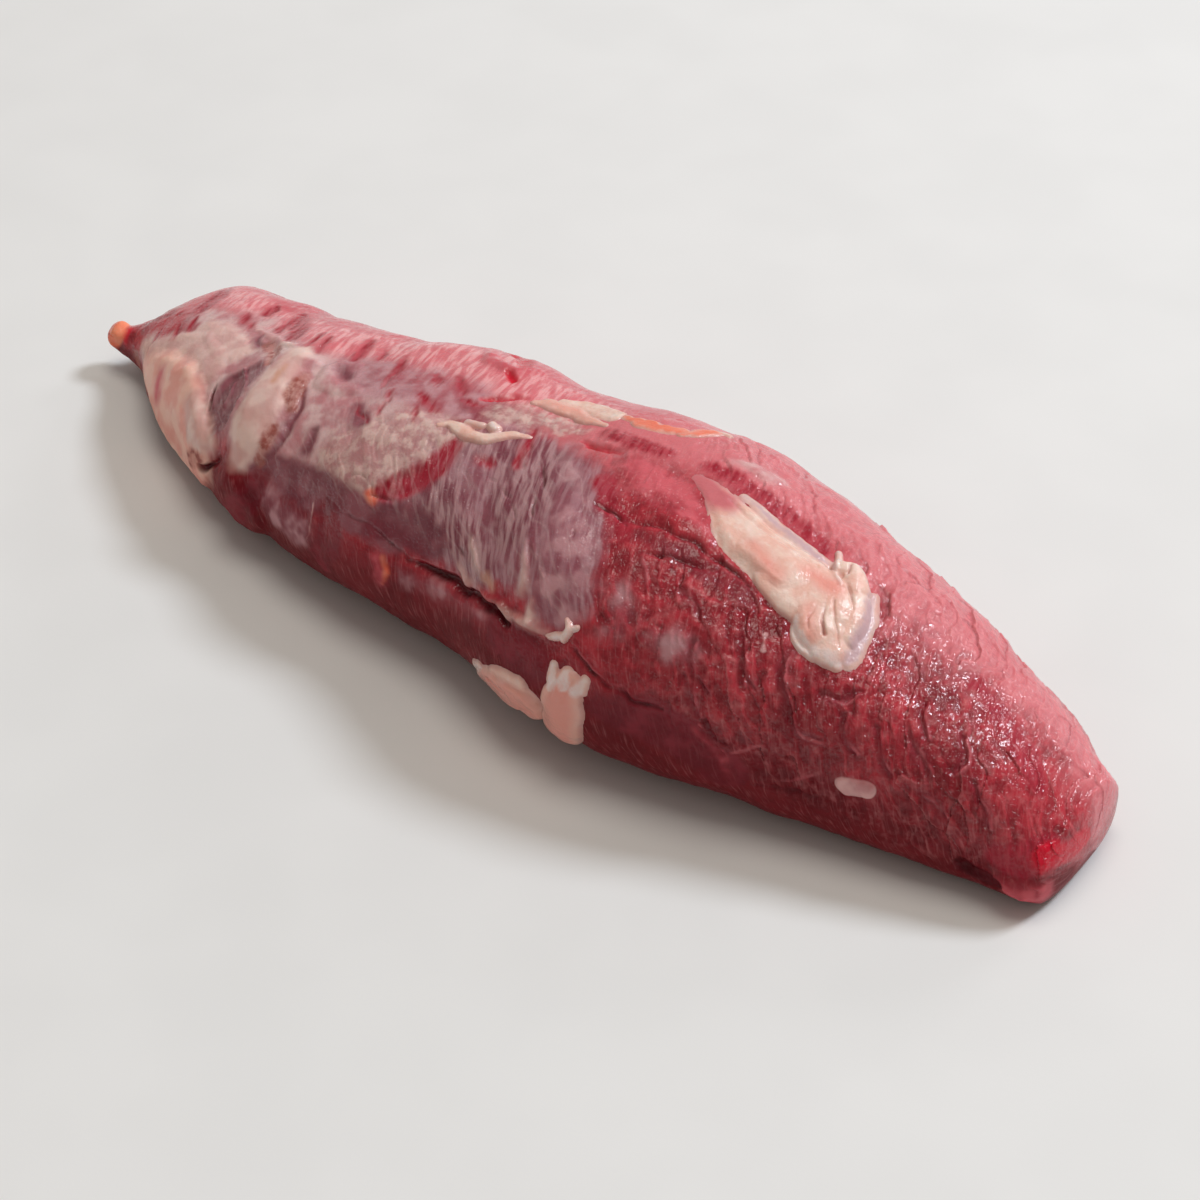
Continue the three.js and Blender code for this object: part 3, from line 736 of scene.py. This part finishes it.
# Pieces of fat that lie on the muscle. Each stroke has a tint, a shape and a path like a feature's. A dome is
# round in section, a sheet is flat with a thin edge, a rise is added, a cut is taken out, and paint is flat.
FAT_STRIP = {
    "neck": (None, "sheet", (62, 86.5, 2.2, 0.15), (70, 88, 4.5, 0.5), (78, 90.5, 7, 1.1), (87, 94, 9.8, 1.9),
        (98, 96, 11, 2.8), (108, 98, 11.5, 3.3)),
    "neck's pink end": ("pink", "paint", (62, 87, 7), (74, 89.5, 6)),
    "lobe": (None, "dome", (106, 98, 11.5, 3.4), (114, 99.5, 12, 4.2), (121, 100, 11, 4.4)),
    "lower lobe": (None, "dome", (119, 104, 9, 4.2), (124, 109, 8.5, 4), (128, 114, 6, 3)),
    "knob": (None, "dome", (116, 86, 3.6, 3.8), (119, 85, 4.4, 4.2), (123, 89, 5, 4.2)),
    "right edge": (None, "dome", (126, 92, 4.6, 3.6), (129.5, 99, 4, 3.2), (131, 106, 3.4, 2.6)),
    "neck's rise": (None, "rise", (94, 96, 7, 0.7), (106, 99, 7, 0.9)),
    "neck's fold": (None, "cut", (76, 88, 0.9, 0.6), (84, 90, 1.2, 0.9), (96, 90.5, 1, 0.6),
        (110, 91, 1, 0.5)),
    "top film": ("film", "sheet", (78, 84, 1.6, 0.4), (92, 85.5, 2.6, 0.7), (104, 86.8, 2.8, 0.8),
        (111, 86.5, 2, 0.6)),
    "side film": ("film", "sheet", (127, 86, 2, 0.5), (132, 95, 3, 0.7), (134, 106, 3, 0.8),
        (134.5, 114, 3, 0.6)),
    "lower rim": ("wet", "sheet", (116, 112, 1.6, 0.6), (119, 117, 2.4, 0.9), (125, 119.5, 2.4, 1),
        (132, 118, 2.4, 0.8)),
    "wet line": ("wet", "rise", (109.5, 79, 1, 1), (112, 83, 1.2, 1.2), (114, 88, 1.4, 1),
        (120, 92, 1.2, 0.8)),
    "wet patch": ("wet", "dome", (111, 80, 1.2, 1), (113.5, 85, 1.8, 1.6)),
    "blush": ("blush", "paint", (111, 95, 4), (119, 95, 5)),
    "neck's blush": ("blush", "paint", (92, 98, 3), (104, 103, 4)),
    "lobe's blush": ("blush", "paint", (118, 107, 3), (123, 115, 3)),
    "left slit": ("slit", "cut", (120, 100, 0.3, 0.4), (122.5, 106, 0.5, 0.8), (125.5, 112, 0.45, 0.7)),
    "red hole": ("slit", "cut", (123.5, 109, 0.6, 0.5), (126, 112, 0.8, 0.6)),
    "right slit": ("slit", "cut", (121.5, 98, 0.3, 0.6), (126.5, 105, 0.5, 1), (130.5, 113, 0.4, 0.5)),
    "middle slit": ("slit", "cut", (119, 104, 0.3, 0.5), (120, 110, 0.5, 0.7), (122, 114, 0.3, 0.5)),
    "knob's hole": ("slit", "cut", (117.5, 84, 0.7, 1), (118.8, 87.5, 0.8, 1)),
    "knob's crease": ("slit", "cut", (121, 91, 0.5, 0.7), (125, 93, 0.5, 0.8), (128, 97, 0.4, 0.5)),
}
LUMP_A = {
    "lump": ("blush", "sheet", (25, 191, 4, 1.6), (34, 189, 7.5, 3), (43, 188, 8, 3.4), (47, 192, 6, 3)),
    "upper bumps": (None, "dome", (32, 183, 3, 1.8), (37, 181.5, 3.4, 2), (44, 181, 3.4, 2)),
    "left bit": ("wet", "dome", (22, 187, 2, 1), (25, 185, 2.2, 1.2)),
    "crease": ("blush", "cut", (30, 187, 1, 0.8), (38, 186, 0.8, 0.5)),
}
LUMP_B = {
    "lump": ("blush", "dome", (62, 173, 5, 2.6), (60.5, 181, 7.5, 3.8), (58.5, 194, 8, 4.2)),
    "finger 1": ("wet", "dome", (56, 169, 1.8, 0.6), (57, 174, 3, 1.2)),
    "finger 2": ("wet", "dome", (61, 168.5, 2, 0.7), (61.5, 172, 3.2, 1.4)),
    "finger 3": ("wet", "dome", (67, 169, 1.8, 0.6), (65.5, 173, 3, 1.2)),
    "groove 1": (None, "cut", (59, 170, 0.7, 0.5), (58, 178, 0.7, 0.4)),
    "groove 2": (None, "cut", (64, 170, 0.7, 0.5), (62, 178, 0.7, 0.4)),
    "warm side": ("blush", "paint", (65, 182, 3), (62, 195, 4)),
}
CREAM_RIDGE = {
    "ridge": (None, "dome", (-28, 107, 1.4, 0.5), (-25, 104.5, 2, 0.9), (-19, 105, 2.6, 1.2),
        (-13, 105.5, 2.6, 1.4), (-8.5, 102.5, 2, 1.1), (-4, 98, 1.8, 0.9), (1, 95, 1, 0.4)),
    "upper arm": ("film", "dome", (-20, 101, 1.4, 0.9), (-15, 100, 1.6, 1.2)),
    "bubble": ("wet", "dome", (-12, 98.5, 1.8, 1.6), (-10, 99, 1.8, 1.6)),
}
PEACH_RIDGE = {
    "ridge": ("blush", "dome", (-9, 81, 1.6, 0.7), (-4, 78.5, 2.8, 1.2), (5, 77.5, 3.2, 1.4),
        (13, 79, 2.6, 1.1), (19, 79.5, 1.8, 0.5)),
    "upper part": (None, "sheet", (-1, 74, 3, 0.8), (9, 71, 5, 1), (19, 73, 3.4, 0.7)),
}
ORANGE_STREAK = {
    "streak": ("orange", "sheet", (23, 73, 1.6, 0.3), (31, 73.5, 3, 0.6), (39, 72.5, 3.2, 0.7),
        (44, 69, 2.4, 0.7)),
    "bright part": ("orange", "dome", (44, 73, 1.6, 0.6), (47, 67, 2.8, 1), (50, 62, 2.4, 0.9)),
    "pale point": (None, "dome", (50, 60, 1.4, 0.6), (54, 59, 1.6, 0.7)),
}
WHITE_KNOT = {
    "knot": ("wet", "dome", (56, 150, 1, 0.8), (58, 153, 1.8, 1.8), (57, 157, 1.8, 1.5)),
    "left arm": ("wet", "dome", (57, 156, 1.4, 1.2), (54, 158, 1.4, 1), (52, 159, 1, 0.6)),
    "right arm": ("wet", "dome", (58, 153, 1.1, 0.9), (60.5, 151, 1, 0.6)),
}
# Every piece: how far its border wanders, and its strokes.
PIECES = {
    "fat_strip": (0.8, FAT_STRIP),
    "lump_a": (1.0, LUMP_A),
    "lump_b": (1.0, LUMP_B),
    "cream_ridge": (0.9, CREAM_RIDGE),
    "peach_ridge": (1.6, PEACH_RIDGE),
    "orange_streak": (1.8, ORANGE_STREAK),
    "white_knot": (0.8, WHITE_KNOT),
}
# Tints of the fat in order: tint, colour, and the rest as for the muscle's.
FAT_LAYERS = (
    ("blush", (232, 154, 140), "cloud", 5, -2, 5, 1),
    ("pink", (206, 110, 116), "cloud", 6, -3, 4, 1),
    ("orange", (240, 124, 98), "torn", 4, -1, 2, 1),
    ("film", (204, 168, 172), "torn", 3, 0, 2.5, 1),
    # The wet tint is a whitish colour, partly the fat's own white and partly painted highlight.
    ("wet", (238, 216, 212), "torn", 2, 0, 1.6, 0.6),
)
PIECE_TINTS = [layer[0] for layer in FAT_LAYERS] + ["slit"]
PIECE_GRID = 0.42
PIECE_MARGIN = 3
PIECE_GRAIN = 0.14
SINK = 1.4
SINK_RUN = 1.2


def piece_thickness(plain, strokes, wander):
    """How far a piece stands over the muscle, how far its edge is, and how far each tint reaches."""
    thickness = np.full(len(plain), -SINK)
    inside = nowhere(plain)
    reach = {tint: nowhere(plain) for tint in PIECE_TINTS}
    for tint, shape, near, (distance, width, height) in strokes_at(plain, strokes, wander):
        part = distance / width
        if shape in ("dome", "sheet"):
            top = np.sqrt(np.clip(1 - part ** 2, 0, 1)) if shape == "dome" else 1 - smoothstep(part, 0.5, 1)
            over = np.where(part < 1, height * top, -SINK * smoothstep(distance - width, 0, SINK_RUN))
            spread(thickness, near, over)
            spread(inside, near, width - distance)
        elif shape in ("rise", "cut"):
            amount = height if shape == "rise" else -height
            thickness[near] += amount * np.clip(1 - part ** 2, 0, 1)
        if tint:
            spread(reach[tint], near, width - distance)
    return thickness, inside, reach


def make_piece(name, wander, strokes, material):
    """A piece of fat draped over the muscle, with its border sunk into it."""
    rows = [row[:3] for _, _, *path in strokes for row in path]
    place, angle, width = np.array(rows, float).T
    per_degree = math.radians(1) * girth_radius(place.mean())
    along, round_ = width + PIECE_MARGIN, (width + PIECE_MARGIN) / per_degree
    xs = np.arange((place - along).min(), (place + along).max(), PIECE_GRID)
    angles = np.arange((angle - round_).min(), (angle + round_).max(), PIECE_GRID / per_degree)
    x, degrees = np.meshgrid(xs, angles, indexing="ij")
    surface, _ = muscle(x, degrees, bare=False)
    plain = body(x, degrees).reshape(-1, 3)
    thickness, inside, reach = piece_thickness(plain, strokes, wander)
    thickness = thickness + PIECE_GRAIN * noise(plain, 3, 61, 3) * (thickness > 0)
    points = surface.reshape(-1, 3) + outward(x, degrees).reshape(-1, 3) * thickness[:, None]
    points[:, 2] = np.maximum(points[:, 2], 0)
    faces = grid_faces(len(xs), len(angles))
    faces = faces[inside[faces].max(axis=1) > -SINK_RUN]
    used, faces = np.unique(faces, return_inverse=True)
    looks = {key: values[used] for key, values in {**reach, "inside": inside}.items()}
    mesh_object(name, points[used], faces.reshape(-1, 4).tolist(), looks, material)


# ---- Materials ----


def srgb(red, green, blue):
    """A colour given as it shows on a screen, from 0 to 255, as the linear colour that shading uses."""
    def linear(byte):
        c = byte / 255
        return c / 12.92 if c <= 0.04045 else ((c + 0.055) / 1.055) ** 2.4
    return (linear(red), linear(green), linear(blue), 1.0)


class Shader:
    """A node material written as expressions. A name given for a number stands for the mesh's attribute."""

    def __init__(self, name):
        self.material = bpy.data.materials.new(name)
        self.material.use_nodes = True
        self.tree = self.material.node_tree
        self.tree.nodes.clear()
        self.place = self.node("ShaderNodeTexCoord").outputs["Object"]

    def node(self, kind, inputs=None, **settings):
        made = self.tree.nodes.new(kind)
        for key, value in settings.items():
            setattr(made, key, value)
        for key, value in (inputs or {}).items():
            self.feed(made.inputs[key], value)
        return made

    def feed(self, socket, value):
        if isinstance(value, str):
            value = self.node("ShaderNodeAttribute", attribute_name=value).outputs["Fac"]
        if isinstance(value, bpy.types.NodeSocket):
            self.tree.links.new(value, socket)
        else:
            socket.default_value = value

    def math(self, operation, a, b=0.0):
        return self.node("ShaderNodeMath", {0: a, 1: b}, operation=operation).outputs[0]

    def times(self, a, b):
        return self.math("MULTIPLY", a, b)

    def plus(self, a, b):
        return self.math("ADD", a, b)

    def larger(self, a, b):
        return self.math("MAXIMUM", a, b)

    def step(self, value, low, high, to_low=0.0, to_high=1.0):
        inputs = {"Value": value, "From Min": low, "From Max": high, "To Min": to_low, "To Max": to_high}
        return self.node("ShaderNodeMapRange", inputs, interpolation_type="SMOOTHSTEP").outputs["Result"]

    def texture(self, at, scale, detail, roughness):
        inputs = {"Vector": at, "Scale": scale, "Detail": detail, "Roughness": roughness}
        return self.node("ShaderNodeTexNoise", inputs).outputs["Fac"]

    def noise(self, size, detail=2, roughness=0.5):
        """Noise around 0.5 with features of a size in mm."""
        return self.texture(self.place, 1 / (size * MM), detail, roughness)

    def lines(self, pattern, width):
        """Thin curved lines where a noise pattern crosses its middle."""
        away = self.math("ABSOLUTE", self.plus(pattern, -0.5))
        return self.step(away, 0, width, 1, 0)

    def streaks(self, turn, length, width, detail=2, roughness=0.5):
        """Noise drawn out in one direction over the meat, the turn in degrees being from its long axis."""
        bend = self.times(self.plus(self.noise(16, 1), -0.5), STREAK_BEND)
        round_ = self.plus("round", bend)
        c, s = math.cos(math.radians(turn)), math.sin(math.radians(turn))
        u = self.plus(self.times("along", c / length), self.times(round_, s / length))
        v = self.plus(self.times("along", -s / width), self.times(round_, c / width))
        vector = self.node("ShaderNodeCombineXYZ", {"X": u, "Y": v}).outputs[0]
        return self.texture(vector, 1, detail, roughness)

    def mix(self, share, a, b):
        return self.node("ShaderNodeMix", {0: share, 6: a, 7: b}, data_type="RGBA").outputs[2]

    def blend(self, share, a, b):
        return self.node("ShaderNodeMix", {0: share, 2: a, 3: b}, data_type="FLOAT").outputs[0]

    def bump(self, height, distance, strength=1.0, normal=None):
        inputs = {"Height": height, "Distance": distance * MM, "Strength": strength}
        if normal is not None:
            inputs["Normal"] = normal
        return self.node("ShaderNodeBump", inputs).outputs[0]

    def cover(self, tint, pattern, wander, low, high, least=1):
        """How much of a tint shows: a pattern roughens its edge, and thins it down to the least."""
        moved = self.plus(tint, self.times(self.plus(pattern, -0.5), wander))
        shown = self.step(moved, low, high)
        return self.times(shown, self.step(pattern, 0.35, 0.65, least, 1.0)) if least < 1 else shown

    def surface(self, **inputs):
        named = {key.replace("_", " "): value for key, value in inputs.items()}
        shader = self.node("ShaderNodeBsdfPrincipled", named).outputs[0]
        self.node("ShaderNodeOutputMaterial", {"Surface": shader})
        return self.material


STREAK_BEND = 8.0
WINE = srgb(142, 20, 36)
RED = srgb(184, 47, 60)
# This pink is painted light: the muscle's colour on its top where the key light falls.
LIT_PINK = srgb(214, 112, 119)
# This pale rose is for the paler fibres of the grain and for painted highlights.
PALE_GRAIN_AND_HIGHLIGHT = srgb(230, 150, 152)
# This deep red is painted shade for the valleys of the grain and the steps between plates.
CREASE_SHADE = srgb(80, 6, 16)
# This dark red is painted shade for the lower near side.
SHADE = srgb(96, 8, 18)


def meat_material():
    s = Shader("meat")
    patterns = {
        "cloud": s.noise(9),
        "torn": s.noise(4, 3, 0.55),
        "threads": s.streaks(62, 14, 2.2),
        "strands": s.streaks(72, 9, 2.0),
    }
    big, fine = s.noise(24), s.noise(1.8)
    fibres = s.streaks(70, 6, 0.9, 1, 0.6)
    lit = s.plus("lit", s.times(s.plus(patterns["cloud"], -0.5), 0.8))

    colour = s.mix(s.step(s.plus(s.times(big, 0.5), s.times(patterns["torn"], 0.5)), 0.4, 0.6), WINE, RED)
    # Painted light: the upper far side and the crest are painted lighter where the key light falls.
    colour = s.mix(s.step(lit, 0.1, 0.9), colour, LIT_PINK)
    # Painted shade: the lower near side is darkened towards the floor.
    colour = s.mix(s.times("low", 0.8), colour, SHADE)
    # Paler fibres of the grain.
    colour = s.mix(s.step(fibres, 0.5, 0.75, 0, 0.16), colour, PALE_GRAIN_AND_HIGHLIGHT)
    # Painted highlights: pale flecks on the bare, torn muscle.
    colour = s.mix(s.times(s.step(s.noise(2.2), 0.5, 0.68, 0, 0.12), "bare"), colour, PALE_GRAIN_AND_HIGHLIGHT)
    # Painted highlights on the crests of the grain.
    colour = s.mix(s.step("grain", 0.2, 1, 0, 0.1), colour, PALE_GRAIN_AND_HIGHLIGHT)
    # Painted shade in the valleys of the grain, kept off the lit top, and in the steps between the plates.
    shaded = s.step("lit", 0, 1, 1, 0.25)
    colour = s.mix(s.times(s.step("grain", -0.2, -1, 0, 0.32), shaded), colour, CREASE_SHADE)
    colour = s.mix(s.times("step", 0.35), colour, CREASE_SHADE)
    # Paler rims on the lifted plates, partly their own pale edges and partly painted highlight.
    colour = s.mix(s.times("rim", 0.2), colour, PALE_GRAIN_AND_HIGHLIGHT)
    for tint, first, second, pattern, *reach in MEAT_LAYERS:
        tone = s.mix(s.step(patterns[pattern], 0.38, 0.62), srgb(*second), srgb(*first))
        colour = s.mix(s.cover(tint, patterns[pattern], *reach), colour, tone)
    # Painted shade in the valleys of the crumpled skin.
    colour = s.mix(s.step("crumple", -0.1, -1, 0, 0.25), colour, srgb(150, 92, 98))
    membrane = s.larger(s.step("film", 0, 6), s.step("lilac", 0, 6))
    strand = s.lines(s.streaks(40, 34, 7), 0.05)
    colour = s.mix(s.times(s.times(strand, membrane), 0.13), colour, srgb(226, 198, 196))

    fatty = s.larger(s.step("cream", 0, 2), s.step("peach", 0, 3))
    matt = s.larger(fatty, s.larger(s.step("skin", 0, 3), s.step("tan", 0, 3)))
    height = s.plus(patterns["torn"], s.plus(s.times(fine, 0.3), s.times(fibres, 0.2)))
    normal = s.bump(height, 0.4, s.blend(fatty, 0.8, 0.4))
    dim = s.step("low", 0, 1, 1, 0.3)
    leather = s.times(s.lines(s.noise(3), 0.06), -0.5)
    wet = s.bump(s.plus(leather, s.noise(1.7)), 0.5, s.blend("bare", s.blend(matt, 0.5, 0.2), 1.0), normal)
    return s.surface(
        Base_Color=colour, Roughness=0.55, IOR=1.4, Specular_IOR_Level=0.06, Subsurface_Weight=0.15,
        Subsurface_Scale=0.002, Subsurface_Radius=(1.0, 0.35, 0.25), Normal=normal,
        Coat_Weight=s.times(s.blend(matt, 0.8, 0.4), dim), Coat_Roughness=0.1, Coat_IOR=1.5, Coat_Normal=wet,
    )


def fat_material():
    s = Shader("fat")
    patterns = {"cloud": s.noise(6, 3), "torn": s.noise(3, 4, 0.6)}
    cloud, torn = patterns["cloud"], patterns["torn"]
    colour = s.mix(s.step(cloud, 0.35, 0.65), srgb(234, 184, 168), srgb(238, 206, 192))
    colour = s.mix(s.step(torn, 0.5, 0.75, 0, 0.5), colour, srgb(244, 220, 210))
    for tint, tone, pattern, *reach in FAT_LAYERS:
        colour = s.mix(s.cover(tint, patterns[pattern], *reach), colour, srgb(*tone))
    colour = s.mix(s.step("inside", 1.4, -0.2, 0, 0.5), colour, srgb(200, 128, 130))
    colour = s.mix(s.cover("slit", cloud, 0.8, 0, 1), colour, srgb(170, 80, 74))
    normal = s.bump(s.plus(s.times(torn, 0.6), s.times(s.noise(1.0, 3), 0.25)), 0.4)
    wet = s.bump(s.noise(1.2), 0.25, 1.0, normal)
    return s.surface(
        Base_Color=colour, Roughness=0.45, IOR=1.42, Specular_IOR_Level=0.2, Subsurface_Weight=0.25,
        Subsurface_Scale=0.003, Subsurface_Radius=(1.0, 0.5, 0.35), Coat_Weight=0.8, Coat_Roughness=0.14,
        Coat_IOR=1.42, Normal=normal, Coat_Normal=wet,
    )


def floor_material():
    s = Shader("floor")
    tone = s.mix(s.step(s.noise(60), 0.3, 0.7), srgb(228, 228, 227), srgb(231, 231, 230))
    return s.surface(Base_Color=tone, Roughness=0.7, Normal=s.bump(s.noise(1.2), 0.05, 0.3))


# ---- The room ----


def aim(item, target):
    item.rotation_euler = (Vector(target) - item.location).to_track_quat("-Z", "Y").to_euler()


def make_camera():
    azimuth, elevation = math.radians(CAMERA_AZIMUTH), math.radians(CAMERA_ELEVATION)
    flat = math.cos(elevation)
    back = Vector((math.sin(azimuth) * flat, -math.cos(azimuth) * flat, math.sin(elevation)))
    target = Vector(CAMERA_TARGET) * MM
    data = bpy.data.cameras.new("camera")
    data.angle = math.radians(FIELD_OF_VIEW)
    data.clip_start = 0.01
    camera = bpy.data.objects.new("camera", data)
    camera.location = target + back * CAMERA_DISTANCE * MM
    bpy.context.scene.collection.objects.link(camera)
    aim(camera, target)
    bpy.context.scene.camera = camera


def make_light(name, towards, distance, size, power, colour):
    data = bpy.data.lights.new(name, "AREA")
    data.shape = "DISK"
    data.size = size
    data.energy = power
    data.color = colour
    light = bpy.data.objects.new(name, data)
    light.location = Vector(towards).normalized() * distance
    bpy.context.scene.collection.objects.link(light)
    aim(light, LIGHT_TARGET)


def make_floor():
    mesh = bpy.data.meshes.new("floor")
    corners = [(x * FLOOR_HALF, y * FLOOR_HALF, 0) for x, y in ((-1, -1), (1, -1), (1, 1), (-1, 1))]
    mesh.from_pydata(corners, [], [(0, 1, 2, 3)])
    mesh.materials.append(floor_material())
    floor = bpy.data.objects.new("floor", mesh)
    bpy.context.scene.collection.objects.link(floor)


def make_room():
    scene = bpy.context.scene
    scene.world = bpy.data.worlds.new("world")
    scene.world.use_nodes = True
    background = scene.world.node_tree.nodes["Background"]
    background.inputs["Color"].default_value = WORLD_COLOUR
    background.inputs["Strength"].default_value = WORLD_STRENGTH
    for light in LIGHTS:
        make_light(*light)
    make_floor()
    scene.view_settings.view_transform = "Standard"
    scene.cycles.use_denoising = True


make_camera()
make_room()
make_muscle(meat_material())
fat = fat_material()
for name, (wander, strokes) in PIECES.items():
    make_piece(name, wander, strokes.values(), fat)
